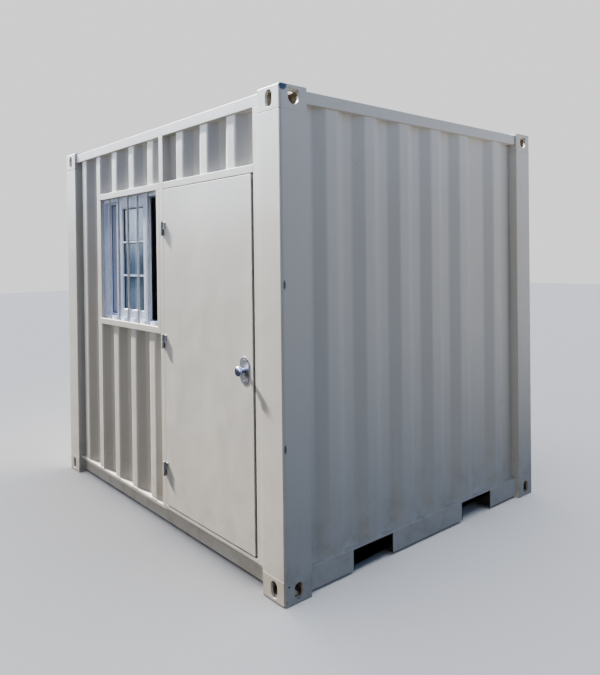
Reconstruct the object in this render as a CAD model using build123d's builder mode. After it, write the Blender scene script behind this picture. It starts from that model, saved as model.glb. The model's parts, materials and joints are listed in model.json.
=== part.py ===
from build123d import *
import os

# A steel cabin on a small shipping container frame, with a door and a barred window in one long side.
# Millimetres. The origin is at ground level under the middle of the container.
# X runs along the side with the door, which faces -Y. Z is up.

# Overall size over the corner castings
length = 2743.0
width = 2134.0
height = 2438.0

# Corner castings
casting_length = 178.0
casting_width = 162.0
casting_height = 118.0
casting_wall = 16.0
casting_plate = 28.0
casting_rounding = 14.0
casting_bevel = 6.0
side_hole_height = 79.5
side_hole_width = 51.0
end_hole_width = 63.5
plate_hole_length = 124.5
plate_hole_width = 63.5

# Corner posts, an angle of two hollow legs
post_leg = 64.0
post_wall = 6.0

# Top rails
top_rail_size = 60.0
top_rail_wall = 4.0
top_rail_setback = 12.0
top_rail_drop = 15.0

# Bottom rails and the parts under the floor
rail_foot = 16.0
rail_top = 130.0
rail_steel = 6.0
end_rail_setback = 24.0
rail_flange_end = 70.0
side_rail_setback = 22.0
side_rail_web_setback = 55.0
side_rail_lip = 20.0
side_rail_foot_flange = 40.0
fork_pocket_width = 289.0
fork_pocket_spread = 914.0
fork_pocket_top = 119.0
fork_pocket_steel = 3.0
bearer_width = 60.0
bearer_steel = 4.0
bearer_pitch = 440.0
floor_thickness = 28.0
floor_edge_setback = 72.0

# Corrugated steel sheet of the walls
sheet = 2.0
wall_setback = 24.0
ridge_pitch = 270.0
ridge_flat = 72.0
ridge_slope = 66.0
ridge_depth = 36.0
end_first_margin = 178.0
end_last_margin = 198.0
front_first_margin = 120.0
front_door_margin = 180.0

# Corrugated roof sheet
roof_top_drop = 18.0
roof_pitch = 209.0
roof_flat = 92.0
roof_slope = 13.0
roof_depth = 20.0

# Steel tubes that frame the door and the window
frame_setback = 10.0
frame_depth = 60.0
frame_wall = 3.0
door_post_left = 151.0
door_post_width = 50.0
door_jamb_width = 56.5
wall_over_head = 276.0
head_height = 40.0
window_opening = 834.0
sill_height = 40.0
window_bar_width = 42.0
threshold_top = 150.0
threshold_steel = 5.0

# Door leaf, its gaps, hinges and knob
door_gap = 5.0
door_lock_gap = 17.0
leaf_thickness = 40.0
leaf_skin = 2.0
leaf_setback = 8.0
hinge_reach = 11.0
hinge_radius = 8.0
hinge_pin_radius = 5.0
hinge_pin_clearance = 0.3
hinge_height = 86.0
hinge_split = 1.0
hinge_cap = 6.0
hinge_cap_clearance = 1.0
hinge_wing = 24.0
hinge_wing_steel = 7.0
low_hinge_rise = 219.0
top_hinge_drop = 233.0
middle_hinge_rise = 44.5
knob_backset = 72.0
knob_height = 1066.0
knob_radius = 26.0
knob_neck_radius = 12.0
knob_neck = 20.0
knob_flare = 8.0
knob_projection = 48.0
knob_bevel = 9.0
spindle_radius = 6.0
spindle_clearance = 1.0
lock_plate_width = 80.0
lock_plate_height = 140.0
lock_plate_steel = 3.0

# Sliding window and the bars in front of it
window_setback = 44.0
window_depth = 71.0
window_rim = 22.0
sash_overlap = 99.5
sash_stile = 60.0
meeting_stile = 100.0
fixed_bead = 14.0
sash_depth = 30.0
sash_clearance = 1.0
sash_track = 4.0
sash_open = 182.0
sash_bevel = 6.0
glazing_bar = 12.0
glazing_bar_depth = 12.0
glass = 5.0
guard_bar_radius = 7.0
guard_bar_count = 5
guard_bar_setback = 27.0

# Places worked out from the sizes above
x_end = length / 2
y_side = width / 2
x_casting = x_end - casting_length
y_casting = y_side - casting_width
casting_top = height - casting_height
top_rail_top = height - top_rail_drop
top_rail_foot = top_rail_top - top_rail_size
head_top = top_rail_foot - wall_over_head
head_foot = head_top - head_height
sill_top = head_foot - window_opening
sill_foot = sill_top - sill_height
floor_foot = fork_pocket_top + fork_pocket_steel
door_post_right = door_post_left + door_post_width
door_jamb_left = x_casting - door_jamb_width
frame_front = -y_side + frame_setback
frame_middle = frame_front + frame_depth / 2
fork_pocket_outside = fork_pocket_width + 2 * fork_pocket_steel

os.makedirs("parts", exist_ok=True)


def write(piece, name):
    piece.label = name
    export_step(piece, f"parts/{name}.step")


# Corner castings: hollow blocks with a lifting hole in each outer face
def corner_casting(side_x, side_y, level):
    center_x = side_x * (x_end - casting_length / 2)
    center_y = side_y * (y_side - casting_width / 2)
    foot = casting_top if level > 0 else 0
    outer_z = height if level > 0 else 0
    center = (center_x, center_y, foot + casting_height / 2)
    outer_corner = (side_x * x_end, side_y * y_side, outer_z)
    side_face = Plane((center_x, side_y * y_side, center[2]), x_dir=(1, 0, 0), z_dir=(0, side_y, 0))
    end_face = Plane((side_x * x_end, center_y, center[2]), x_dir=(0, side_x, 0), z_dir=(side_x, 0, 0))
    plate_face = Plane((center_x, center_y, outer_z), x_dir=(1, 0, 0), z_dir=(0, 0, level))
    with BuildPart() as casting:
        with Locations(center):
            Box(casting_length, casting_width, casting_height)
        upright_edges = casting.edges().filter_by(Axis.Z)
        fillet(upright_edges.sort_by_distance(outer_corner)[0], radius=casting_rounding)
        plate_edges = casting.edges().group_by(Axis.Z)[-1 if level > 0 else 0]
        chamfer(plate_edges.sort_by_distance(outer_corner)[:3], length=casting_bevel)
        with Locations(center):
            Box(
                casting_length - 2 * casting_wall,
                casting_width - 2 * casting_wall,
                casting_height - 2 * casting_plate,
                mode=Mode.SUBTRACT,
            )
        with BuildSketch(side_face):
            SlotOverall(side_hole_height, side_hole_width, rotation=90)
        extrude(amount=-casting_wall, mode=Mode.SUBTRACT)
        with BuildSketch(end_face):
            if level > 0:
                Circle(end_hole_width / 2)
                with Locations((0, side_hole_height / 4)):
                    Rectangle(end_hole_width, side_hole_height / 2)
            else:
                SlotOverall(side_hole_height, side_hole_width, rotation=90)
        extrude(amount=-casting_wall, mode=Mode.SUBTRACT)
        with BuildSketch(plate_face):
            SlotOverall(plate_hole_length, plate_hole_width)
        extrude(amount=-casting_plate, mode=Mode.SUBTRACT)
    return casting.part


corners = ((1, -1), (-1, -1), (1, 1), (-1, 1))
bottom_castings = Compound(children=[corner_casting(side_x, side_y, -1) for side_x, side_y in corners])
write(bottom_castings, "bottom_castings")
top_castings = Compound(children=[corner_casting(side_x, side_y, 1) for side_x, side_y in corners])
write(top_castings, "top_castings")


# Corner posts: an angle of two hollow legs, flush with the castings
def corner_post(side_x, side_y):
    outline = [
        (0, 0),
        (casting_length, 0),
        (casting_length, post_leg),
        (post_leg, post_leg),
        (post_leg, casting_width),
        (0, casting_width),
    ]
    with BuildPart() as post:
        with BuildSketch(Plane.XY.offset(casting_height)):
            with BuildLine():
                Polyline(*[(side_x * (x_end - a), side_y * (y_side - b)) for a, b in outline], close=True)
            make_face()
            offset(amount=-post_wall, mode=Mode.SUBTRACT)
        extrude(amount=casting_top - casting_height)
    return post.part


write(corner_post(1, -1), "post_front_right")
write(corner_post(-1, -1), "post_front_left")
write(corner_post(1, 1), "post_back_right")
write(corner_post(-1, 1), "post_back_left")


# Square and flat tubes, cut to length
def tube_along_x(start, end, y, z, deep, high, wall):
    with BuildPart() as tube:
        with BuildSketch(Plane((start, y, z), x_dir=(0, 1, 0), z_dir=(1, 0, 0))):
            Rectangle(deep, high)
            Rectangle(deep - 2 * wall, high - 2 * wall, mode=Mode.SUBTRACT)
        extrude(amount=end - start)
    return tube.part


def tube_along_y(start, end, x, z, deep, high, wall):
    with BuildPart() as tube:
        with BuildSketch(Plane((x, start, z), x_dir=(1, 0, 0), z_dir=(0, 1, 0))):
            Rectangle(deep, high)
            Rectangle(deep - 2 * wall, high - 2 * wall, mode=Mode.SUBTRACT)
        extrude(amount=end - start)
    return tube.part


def upright_tube(start, end, x, y, wide, deep, wall):
    with BuildPart() as tube:
        with BuildSketch(Plane((x, y, start), x_dir=(1, 0, 0), z_dir=(0, 0, 1))):
            Rectangle(wide, deep)
            Rectangle(wide - 2 * wall, deep - 2 * wall, mode=Mode.SUBTRACT)
        extrude(amount=end - start)
    return tube.part


top_rail_z = top_rail_foot + top_rail_size / 2
top_rail_y = y_side - top_rail_setback - top_rail_size / 2
top_rail_x = x_end - top_rail_setback - top_rail_size / 2
rail_section = (top_rail_size, top_rail_size, top_rail_wall)
write(tube_along_x(-x_casting, x_casting, -top_rail_y, top_rail_z, *rail_section), "top_rail_front")
write(tube_along_x(-x_casting, x_casting, top_rail_y, top_rail_z, *rail_section), "top_rail_back")
write(tube_along_y(-y_casting, y_casting, top_rail_x, top_rail_z, *rail_section), "top_rail_right")
write(tube_along_y(-y_casting, y_casting, -top_rail_x, top_rail_z, *rail_section), "top_rail_left")


# Bottom side rails: a pressed section with a turned-down lip and a foot flange
def bottom_side_rail(side_y):
    web_back = side_rail_web_setback + rail_steel
    lip_back = side_rail_setback + rail_steel
    foot_end = side_rail_web_setback + side_rail_foot_flange
    outline = [
        (side_rail_setback, rail_top - side_rail_lip),
        (side_rail_setback, rail_top),
        (rail_flange_end, rail_top),
        (rail_flange_end, rail_top - rail_steel),
        (web_back, rail_top - rail_steel),
        (web_back, rail_foot + rail_steel),
        (foot_end, rail_foot + rail_steel),
        (foot_end, rail_foot),
        (side_rail_web_setback, rail_foot),
        (side_rail_web_setback, rail_top - rail_steel),
        (lip_back, rail_top - rail_steel),
        (lip_back, rail_top - side_rail_lip),
    ]
    with BuildPart() as rail:
        with BuildSketch(Plane((-x_casting, 0, 0), x_dir=(0, 1, 0), z_dir=(1, 0, 0))):
            with BuildLine():
                Polyline(*[(side_y * (y_side - setback), z) for setback, z in outline], close=True)
            make_face()
        extrude(amount=2 * x_casting)
    return rail.part


write(bottom_side_rail(-1), "bottom_rail_front")
write(bottom_side_rail(1), "bottom_rail_back")


# Bottom end rails: a channel with a notch for each fork pocket
def bottom_end_rail(side_x):
    web_back = end_rail_setback + rail_steel
    outline = [
        (end_rail_setback, rail_foot),
        (end_rail_setback, rail_top),
        (rail_flange_end, rail_top),
        (rail_flange_end, rail_top - rail_steel),
        (web_back, rail_top - rail_steel),
        (web_back, rail_foot + rail_steel),
        (rail_flange_end, rail_foot + rail_steel),
        (rail_flange_end, rail_foot),
    ]
    with BuildPart() as rail:
        with BuildSketch(Plane((0, -y_casting, 0), x_dir=(1, 0, 0), z_dir=(0, 1, 0))):
            with BuildLine():
                Polyline(*[(side_x * (x_end - setback), -z) for setback, z in outline], close=True)
            make_face()
        extrude(amount=2 * y_casting)
        with BuildSketch(Plane.XY):
            with Locations((side_x * x_end, 0)):
                with GridLocations(1, fork_pocket_spread, 1, 2):
                    Rectangle(2 * (rail_flange_end + rail_steel), fork_pocket_outside)
        extrude(amount=floor_foot, mode=Mode.SUBTRACT)
    return rail.part


write(bottom_end_rail(1), "bottom_rail_right")
write(bottom_end_rail(-1), "bottom_rail_left")


# Fork pockets: channels that run from end to end, open at the bottom
def fork_pocket(center_y):
    reach = x_end - end_rail_setback
    with BuildPart() as pocket:
        with BuildSketch(Plane((-reach, center_y, 0), x_dir=(0, 1, 0), z_dir=(1, 0, 0))):
            with Locations((0, (rail_foot + floor_foot) / 2)):
                Rectangle(fork_pocket_outside, floor_foot - rail_foot)
            with Locations((0, (rail_foot + fork_pocket_top) / 2)):
                Rectangle(fork_pocket_width, fork_pocket_top - rail_foot, mode=Mode.SUBTRACT)
        extrude(amount=2 * reach)
    return pocket.part


write(fork_pocket(-fork_pocket_spread / 2), "fork_pocket_front")
write(fork_pocket(fork_pocket_spread / 2), "fork_pocket_back")


# Floor bearers: channels across the cabin, in three lengths between the rails and the pockets
bearer_foot = rail_foot + rail_steel
bearer_count = int((2 * x_casting) / bearer_pitch)
web_inside = y_side - side_rail_web_setback - rail_steel
pocket_near = (fork_pocket_spread - fork_pocket_outside) / 2
pocket_far = (fork_pocket_spread + fork_pocket_outside) / 2
bearer_spans = ((-web_inside, -pocket_far), (-pocket_near, pocket_near), (pocket_far, web_inside))


def bearer(x, start, end):
    with BuildPart() as channel:
        with BuildSketch(Plane((x, start, 0), x_dir=(1, 0, 0), z_dir=(0, 1, 0))):
            with Locations((0, -(bearer_foot + floor_foot) / 2)):
                Rectangle(bearer_width, floor_foot - bearer_foot)
            with Locations((bearer_steel / 2, -(bearer_foot + floor_foot) / 2)):
                Rectangle(bearer_width - bearer_steel, floor_foot - bearer_foot - 2 * bearer_steel, mode=Mode.SUBTRACT)
        extrude(amount=end - start)
    return channel.part


bearer_places = [(index - (bearer_count - 1) / 2) * bearer_pitch for index in range(bearer_count)]
bearers = Compound(children=[bearer(x, start, end) for x in bearer_places for start, end in bearer_spans])
write(bearers, "floor_bearers")

with BuildPart() as floor:
    with BuildSketch(Plane.XY.offset(floor_foot)):
        Rectangle(length - 2 * floor_edge_setback, width - 2 * floor_edge_setback)
    extrude(amount=floor_thickness)
write(floor.part, "floor")


# Corrugated sheet: flat ridges with sloping sides, between flat valleys
def sheet_path(start, end, ridges, flat, slope, depth):
    half = flat / 2

    def depth_at(place):
        distance = min(abs(place - ridge) for ridge in ridges)
        return depth * min(max((distance - half) / slope, 0), 1)

    bends = [ridge + side for ridge in ridges for side in (-half - slope, -half, half, half + slope)]
    places = [start] + [bend for bend in bends if start + sheet < bend < end - sheet] + [end]
    return [(place, depth_at(place)) for place in places]


def wall_panel(plane, start, end, ridges, rise):
    with BuildPart() as panel:
        with BuildSketch(plane):
            with BuildLine():
                Polyline(*sheet_path(start, end, ridges, ridge_flat, ridge_slope, ridge_depth))
                offset(amount=sheet, kind=Kind.INTERSECTION, side=Side.LEFT)
            make_face()
            with Locations(((start + end) / 2, ridge_depth / 2)):
                Rectangle(end - start, 2 * ridge_depth, mode=Mode.INTERSECT)
        extrude(amount=rise)
    return panel.part


def spread_ridges(start, end, first_margin, last_margin):
    count = int((end - start - first_margin - last_margin) / ridge_pitch)
    return [start + first_margin + index * ridge_pitch for index in range(count)] + [end - last_margin]


wall_rise = top_rail_foot - rail_top
end_ridges = spread_ridges(-y_casting, y_casting, end_first_margin, end_last_margin)
right_plane = Plane((x_end - wall_setback, 0, rail_top), x_dir=(0, 1, 0), z_dir=(0, 0, 1))
write(wall_panel(right_plane, -y_casting, y_casting, end_ridges, wall_rise), "end_wall_right")
left_plane = Plane((-x_end + wall_setback, 0, rail_top), x_dir=(0, -1, 0), z_dir=(0, 0, 1))
write(wall_panel(left_plane, -y_casting, y_casting, end_ridges, wall_rise), "end_wall_left")
back_ridges = spread_ridges(-x_casting, x_casting, end_first_margin, end_last_margin)
back_plane = Plane((0, y_side - wall_setback, rail_top), x_dir=(-1, 0, 0), z_dir=(0, 0, 1))
write(wall_panel(back_plane, -x_casting, x_casting, back_ridges, wall_rise), "back_wall")


# Front wall: pieces left of the window, below it, above it and above the door
def ridges_up_to(first, end):
    count = int((end - first) / ridge_pitch) + 1
    return [first + index * ridge_pitch for index in range(count)]


front_ridges = ridges_up_to(-x_casting + front_first_margin, door_post_left)
door_ridges = ridges_up_to(door_post_right + front_door_margin, door_jamb_left)
window_left = front_ridges[1] + ridge_flat / 2
window_right = door_post_left - window_bar_width


def front_plane(z):
    return Plane((0, -y_side + wall_setback, z), x_dir=(1, 0, 0), z_dir=(0, 0, 1))


front_left = wall_panel(front_plane(rail_top), -x_casting, window_left, front_ridges, wall_rise)
write(front_left, "front_wall_left")
below_window = wall_panel(front_plane(rail_top), window_left, door_post_left, front_ridges, sill_foot - rail_top)
write(below_window, "front_wall_below_window")
above_window = wall_panel(front_plane(head_top), window_left, door_post_left, front_ridges, wall_over_head)
write(above_window, "front_wall_above_window")
above_door = wall_panel(front_plane(head_top), door_post_right, door_jamb_left, door_ridges, wall_over_head)
write(above_door, "front_wall_above_door")

# Roof sheet, with its corners cut back to the castings
roof_reach_x = x_end - top_rail_setback - top_rail_size
roof_reach_y = y_side - top_rail_setback - top_rail_size
roof_count = int(2 * (roof_reach_x - roof_flat) / roof_pitch)
roof_ridges = [(index - (roof_count - 1) / 2) * roof_pitch for index in range(roof_count)]
with BuildPart() as roof:
    with BuildSketch(Plane((0, -roof_reach_y, height - roof_top_drop), x_dir=(1, 0, 0), z_dir=(0, 1, 0))):
        with BuildLine():
            Polyline(*sheet_path(-roof_reach_x, roof_reach_x, roof_ridges, roof_flat, roof_slope, roof_depth))
            offset(amount=sheet, kind=Kind.INTERSECTION, side=Side.LEFT)
        make_face()
    extrude(amount=2 * roof_reach_y)
    with BuildSketch(Plane.XY.offset(casting_top)):
        with GridLocations(length - casting_length, width - casting_width, 2, 2):
            Rectangle(casting_length, casting_width)
    extrude(amount=casting_height, mode=Mode.SUBTRACT)
write(roof.part, "roof")

# Steel tubes around the door and the window
frame_section = (frame_depth, frame_wall)
head_z = head_foot + head_height / 2
window_head = tube_along_x(window_left, door_post_left, frame_middle, head_z, frame_depth, head_height, frame_wall)
write(window_head, "window_head")
door_head = tube_along_x(door_post_right, door_jamb_left, frame_middle, head_z, frame_depth, head_height, frame_wall)
write(door_head, "door_head")
sill_z = sill_foot + sill_height / 2
window_sill = tube_along_x(window_left, door_post_left, frame_middle, sill_z, frame_depth, sill_height, frame_wall)
write(window_sill, "window_sill")
door_post_x = door_post_left + door_post_width / 2
door_post = upright_tube(rail_top, top_rail_foot, door_post_x, frame_middle, door_post_width, *frame_section)
write(door_post, "door_post")
door_jamb_x = door_jamb_left + door_jamb_width / 2
door_jamb = upright_tube(rail_top, top_rail_foot, door_jamb_x, frame_middle, door_jamb_width, *frame_section)
write(door_jamb, "door_jamb")
window_bar_x = window_right + window_bar_width / 2
window_side_bar = upright_tube(sill_top, head_foot, window_bar_x, frame_middle, window_bar_width, *frame_section)
write(window_side_bar, "window_side_bar")

# A tube behind the ridge at the window's left edge
edge_bar_depth = frame_setback + frame_depth - wall_setback - sheet
edge_bar_width = head_height
edge_bar_y = -y_side + wall_setback + sheet + edge_bar_depth / 2
edge_bar_x = window_left - edge_bar_width / 2
window_edge_bar = upright_tube(sill_foot, head_top, edge_bar_x, edge_bar_y, edge_bar_width, edge_bar_depth, frame_wall)
write(window_edge_bar, "window_edge_bar")

with BuildPart() as threshold:
    with BuildSketch(Plane((door_post_right, frame_middle, rail_top), x_dir=(0, 1, 0), z_dir=(1, 0, 0))):
        with Locations((0, (threshold_top - rail_top) / 2)):
            Rectangle(frame_depth, threshold_top - rail_top)
        with Locations((0, (threshold_top - rail_top - threshold_steel) / 2)):
            Rectangle(frame_depth - 2 * threshold_steel, threshold_top - rail_top - threshold_steel, mode=Mode.SUBTRACT)
    extrude(amount=door_jamb_left - door_post_right)
write(threshold.part, "threshold")

# Sliding window: an outer rim, a fixed sash behind and a sliding sash in front, part open
window_front = -y_side + window_setback
window_width = window_right - window_left
window_x = (window_left + window_right) / 2
window_z = (sill_top + head_foot) / 2
inner_width = window_width - 2 * window_rim
sash_height = window_opening - 2 * window_rim


def facing_out(x, y, z):
    return Plane((x, y, z), x_dir=(1, 0, 0), z_dir=(0, -1, 0))


with BuildPart() as window_frame:
    with BuildSketch(facing_out(window_x, window_front, window_z)):
        Rectangle(window_width, window_opening)
        Rectangle(inner_width, sash_height, mode=Mode.SUBTRACT)
    extrude(amount=-window_depth)
write(window_frame.part, "window_frame")

sash_width = (inner_width + sash_overlap) / 2
fixed_sash_x = window_left + window_rim + sash_width / 2
sliding_sash_x = window_right - window_rim - sash_open - sash_width / 2
sliding_sash_y = window_front + sash_track
fixed_sash_y = sliding_sash_y + sash_depth + sash_clearance


def light_place(x, y, left_stile):
    return facing_out(x + (left_stile - sash_stile) / 2, y, window_z)


def sash(x, y, left_stile, border):
    light_width = sash_width - left_stile - sash_stile
    with BuildPart() as frame:
        with BuildSketch(facing_out(x, y, window_z)):
            Rectangle(sash_width, sash_height)
        extrude(amount=-sash_depth)
        with BuildSketch(light_place(x, y, left_stile)):
            Rectangle(light_width, sash_height - 2 * border)
        extrude(amount=-sash_depth, mode=Mode.SUBTRACT)
        front_edges = frame.faces().sort_by(Axis.Y)[0].inner_wires()[0].edges()
        chamfer(front_edges, length=sash_bevel)
    return frame.part


def pane(x, y, left_stile, border):
    with BuildPart() as glazing:
        with BuildSketch(light_place(x, y + glazing_bar_depth, left_stile)):
            Rectangle(sash_width - left_stile - sash_stile, sash_height - 2 * border)
        extrude(amount=-glass)
    return glazing.part


write(sash(fixed_sash_x, fixed_sash_y, fixed_bead, fixed_bead), "sash_fixed")
write(pane(fixed_sash_x, fixed_sash_y, fixed_bead, fixed_bead), "glass_fixed")
write(pane(sliding_sash_x, sliding_sash_y, meeting_stile, sash_stile), "glass_sliding")

# Two glazing bars cross the sliding sash
bar_spacing = (sash_height - 2 * sash_stile) / 3
with BuildPart() as sash_sliding:
    add(sash(sliding_sash_x, sliding_sash_y, meeting_stile, sash_stile))
    with BuildSketch(light_place(sliding_sash_x, sliding_sash_y, meeting_stile)):
        with GridLocations(1, bar_spacing, 1, 2):
            Rectangle(sash_width - meeting_stile - sash_stile, glazing_bar)
    extrude(amount=-glazing_bar_depth)
write(sash_sliding.part, "sash_sliding")

# Upright guard bars between the sill and the head
guard_bar_y = -y_side + guard_bar_setback
with BuildPart() as guard_bars:
    with BuildSketch(Plane((window_x, guard_bar_y, sill_top), x_dir=(1, 0, 0), z_dir=(0, 0, 1))):
        with GridLocations(window_width / (guard_bar_count + 1), 1, guard_bar_count, 1):
            Circle(guard_bar_radius)
    extrude(amount=window_opening)
write(guard_bars.part, "guard_bars")

# Door leaf, folded from sheet and hollow
leaf_left = door_post_right + door_gap
leaf_right = door_jamb_left - door_lock_gap
leaf_foot = threshold_top + door_gap
leaf_top = head_foot - door_gap
leaf_front = -y_side + leaf_setback
leaf_back = leaf_front + leaf_thickness
leaf_x = (leaf_left + leaf_right) / 2
leaf_z = (leaf_foot + leaf_top) / 2
knob_x = leaf_right - knob_backset
bore_radius = knob_neck_radius + spindle_clearance
leaf_width = leaf_right - leaf_left
leaf_height = leaf_top - leaf_foot
with BuildPart() as door_leaf:
    with BuildSketch(facing_out(leaf_x, leaf_front, leaf_z)):
        Rectangle(leaf_width, leaf_height)
    extrude(amount=-leaf_thickness)
    with BuildSketch(facing_out(leaf_x, leaf_front + leaf_skin, leaf_z)):
        Rectangle(leaf_width - 2 * leaf_skin, leaf_height - 2 * leaf_skin)
    extrude(amount=2 * leaf_skin - leaf_thickness, mode=Mode.SUBTRACT)
    with BuildSketch(facing_out(knob_x, leaf_front, knob_height)):
        Circle(spindle_radius + spindle_clearance)
    extrude(amount=-leaf_thickness, mode=Mode.SUBTRACT)
write(door_leaf.part, "door_leaf")


# Lock plates, one on each face of the leaf, with a hole for the knob's neck
def lock_plate(y):
    with BuildPart() as plate:
        with BuildSketch(facing_out(knob_x, y, knob_height)):
            SlotOverall(lock_plate_height, lock_plate_width, rotation=90)
            Circle(bore_radius, mode=Mode.SUBTRACT)
        extrude(amount=lock_plate_steel)
    return plate.part


write(Compound(children=[lock_plate(leaf_front), lock_plate(leaf_back + lock_plate_steel)]), "lock_plates")

# Door knob: two round knobs, each turned with its neck, on one spindle through the leaf
half_leaf = leaf_thickness / 2
neck_foot = half_leaf + spindle_clearance
knob_back = half_leaf + knob_neck
knob_front = half_leaf + knob_projection
with BuildPart() as door_knob:
    with BuildSketch(Plane((knob_x, leaf_front + half_leaf, knob_height), x_dir=(1, 0, 0), z_dir=(0, 0, 1))):
        with BuildLine():
            Polyline(
                (0, 0),
                (spindle_radius, 0),
                (spindle_radius, neck_foot),
                (knob_neck_radius, neck_foot),
                (knob_neck_radius, knob_back),
                (knob_radius, knob_back + knob_flare),
                (knob_radius, knob_front - knob_bevel),
                (knob_radius - knob_bevel, knob_front),
                (0, knob_front),
                close=True,
            )
        make_face()
        mirror(about=Plane.XZ)
    revolve(axis=Axis((knob_x, leaf_front + half_leaf, knob_height), (0, 1, 0)))
write(door_knob.part, "door_knob")

# Lift-off hinges: the lower half with its pin on the post, the upper half on the leaf
hinge_x = (door_post_right + leaf_left) / 2
hinge_y = leaf_front - hinge_reach
hinge_half = (hinge_height - hinge_split) / 2
low_hinge = leaf_foot + low_hinge_rise
top_hinge = leaf_top - top_hinge_drop
hinge_heights = (low_hinge, (low_hinge + top_hinge) / 2 + middle_hinge_rise, top_hinge)


def hinge_lower(middle):
    foot = middle - hinge_height / 2
    with BuildPart() as half:
        with BuildSketch(Plane.XY.offset(foot)):
            with Locations((hinge_x, hinge_y)):
                Circle(hinge_radius)
        extrude(amount=hinge_half)
        with BuildSketch(Plane.XY.offset(foot + hinge_cap)):
            with Locations((hinge_x - hinge_wing / 2, frame_front - hinge_wing_steel / 2)):
                Rectangle(hinge_wing, hinge_wing_steel)
        extrude(amount=hinge_half - hinge_cap)
        with BuildSketch(Plane.XY.offset(foot)):
            with Locations((hinge_x, hinge_y)):
                Circle(hinge_pin_radius)
        extrude(amount=hinge_height - hinge_cap - hinge_cap_clearance)
    return half.part


def hinge_upper(middle):
    foot = middle + hinge_split / 2
    with BuildPart() as half:
        with BuildSketch(Plane.XY.offset(foot)):
            with Locations((hinge_x, hinge_y)):
                Circle(hinge_radius)
        extrude(amount=hinge_half)
        with BuildSketch(Plane.XY.offset(foot)):
            with Locations((hinge_x + hinge_wing / 2, leaf_front - hinge_wing_steel / 2)):
                Rectangle(hinge_wing, hinge_wing_steel)
        extrude(amount=hinge_half - hinge_cap)
        with BuildSketch(Plane.XY.offset(foot)):
            with Locations((hinge_x, hinge_y)):
                Circle(hinge_pin_radius + hinge_pin_clearance)
        extrude(amount=hinge_half - hinge_cap, mode=Mode.SUBTRACT)
    return half.part


write(Compound(children=[hinge_lower(middle) for middle in hinge_heights]), "hinges_on_post")
write(Compound(children=[hinge_upper(middle) for middle in hinge_heights]), "hinges_on_leaf")
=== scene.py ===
import json
import math

import bmesh
import bpy
from mathutils import Matrix, Vector, noise


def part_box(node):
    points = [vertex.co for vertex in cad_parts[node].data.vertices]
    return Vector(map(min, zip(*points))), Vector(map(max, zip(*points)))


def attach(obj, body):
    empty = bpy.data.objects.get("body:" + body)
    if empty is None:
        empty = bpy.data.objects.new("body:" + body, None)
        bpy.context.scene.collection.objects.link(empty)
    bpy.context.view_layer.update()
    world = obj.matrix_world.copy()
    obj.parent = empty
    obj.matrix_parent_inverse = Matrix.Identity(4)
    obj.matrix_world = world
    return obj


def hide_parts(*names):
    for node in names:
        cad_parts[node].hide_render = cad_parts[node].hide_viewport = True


# The looks of the cabin: rounded steel and sheet, weld seams, seals, screws and marks, paint, light and
# camera. Metres, in the frame of the CAD part: X along the side with the door, which faces -Y, and Z up.

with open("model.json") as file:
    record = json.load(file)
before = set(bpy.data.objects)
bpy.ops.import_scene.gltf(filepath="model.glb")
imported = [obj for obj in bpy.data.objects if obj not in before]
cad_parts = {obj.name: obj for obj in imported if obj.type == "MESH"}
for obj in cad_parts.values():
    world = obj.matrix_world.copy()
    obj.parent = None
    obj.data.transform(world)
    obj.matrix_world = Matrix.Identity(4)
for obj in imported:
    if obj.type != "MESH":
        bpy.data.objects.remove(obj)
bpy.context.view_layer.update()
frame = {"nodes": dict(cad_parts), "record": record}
nodes = frame["nodes"]

# Places read from the frame
x_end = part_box("post_front_right")[1].x
y_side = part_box("post_back_right")[1].y
x_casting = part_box("post_front_right")[0].x
y_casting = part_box("post_back_right")[0].y
bottom_casting_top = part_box("bottom_castings")[1].z
top_casting_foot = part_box("top_castings")[0].z
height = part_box("top_castings")[1].z
rail_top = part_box("end_wall_right")[0].z
x_out = Vector((1.0, 0.0, 0.0))
y_out = Vector((0.0, 1.0, 0.0))
z_up = Vector((0.0, 0.0, 1.0))

# Sizes of the solids that their boxes don't tell, the same as in the part's source
half_casting_x = 0.089
half_casting_y = 0.081
roof_edge_drop = 0.038
end_rail_setback = 0.024
side_rail_setback = 0.022
side_rail_web_setback = 0.055
side_rail_lip = 0.02
rail_steel = 0.006
hinge_cap = 0.006
hinge_half = 0.0425

# Angles between two faces, in degrees: from where they count as a bend and as a corner, and the largest
bend_from = 12.0
corner_from = 60.0
any_angle = 180.0

# Radii of the beads, by what they run along
wall_bead = 0.0026
roof_bead = 0.003
post_bead = 0.0026
rail_bead = 0.0028
lip_bead = 0.0025
bar_bead = 0.002
wing_bead = 0.0017
rim_bead = 0.0028

# The unevenness of a bead: its ripple's turn from ring to ring, and lumps to a metre with their share
ripple_turn = 2.2
lump_scale = 60.0
lump_share = 0.25


# Small helpers that make meshes
def cover(thing, material):
    thing.data.materials.clear()
    thing.data.materials.append(material)


def finish_mesh(bm, name, sharp_angle=30.0):
    mesh = bpy.data.meshes.new(name)
    bm.to_mesh(mesh)
    bm.free()
    mesh.shade_smooth()
    mesh.set_sharp_from_angle(angle=math.radians(sharp_angle))
    made = bpy.data.objects.new(name, mesh)
    bpy.context.scene.collection.objects.link(made)
    weighted = made.modifiers.new("flat_faces_stay_flat", "WEIGHTED_NORMAL")
    weighted.keep_sharp = True
    return made


def dress(made, material, body):
    cover(made, material)
    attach(made, body)
    return made


# A node's mesh without the triangles that split its flat faces
def clean_copy(name):
    bm = bmesh.new()
    bm.from_mesh(nodes[name].data)
    same_place = 1e-5
    flat_within = math.radians(0.5)
    bmesh.ops.remove_doubles(bm, verts=bm.verts, dist=same_place)
    bmesh.ops.dissolve_limit(bm, angle_limit=flat_within, verts=bm.verts, edges=bm.edges)
    return bm


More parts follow.
